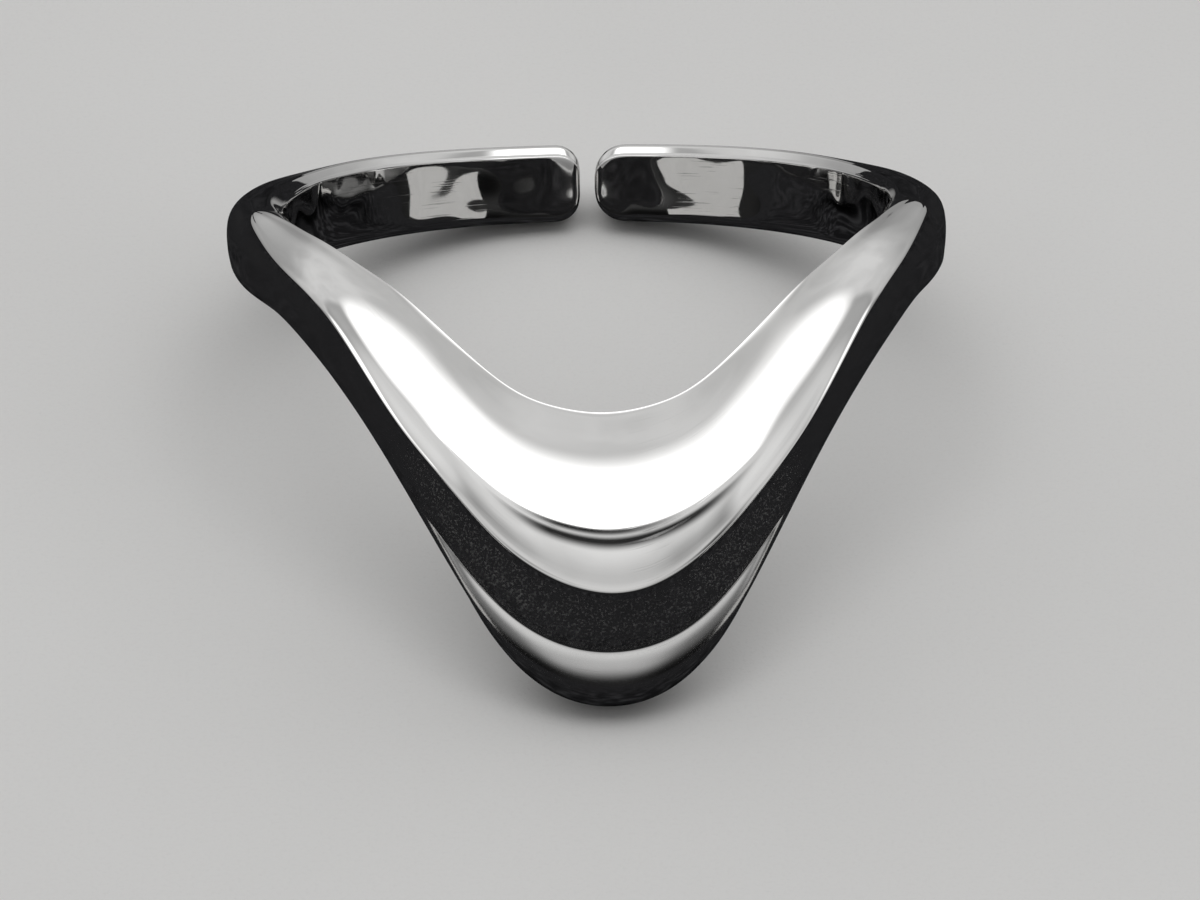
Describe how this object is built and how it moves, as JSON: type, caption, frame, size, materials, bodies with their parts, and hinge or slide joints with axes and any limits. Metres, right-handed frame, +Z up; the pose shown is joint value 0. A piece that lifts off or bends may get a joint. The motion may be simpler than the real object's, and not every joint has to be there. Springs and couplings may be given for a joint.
{
  "type": "open finger ring with a swept front",
  "caption": "Open silver finger ring: a narrow band with a small gap at the back sweeps down to a broad rounded point with a polished face and a lip.",
  "frame": {"origin": "centre of the bounding box on the table the ring lies on", "axes": "+Z up from the table, -Y towards the front point, +X to the wearer's side that is right in the picture"},
  "size_m": [0.0204, 0.0236, 0.0087],
  "materials": {
    "silver": "mirror polished sterling silver"
  },
  "bodies": {
    "root": {"ring_band": "silver"}
  },
  "joints": []
}
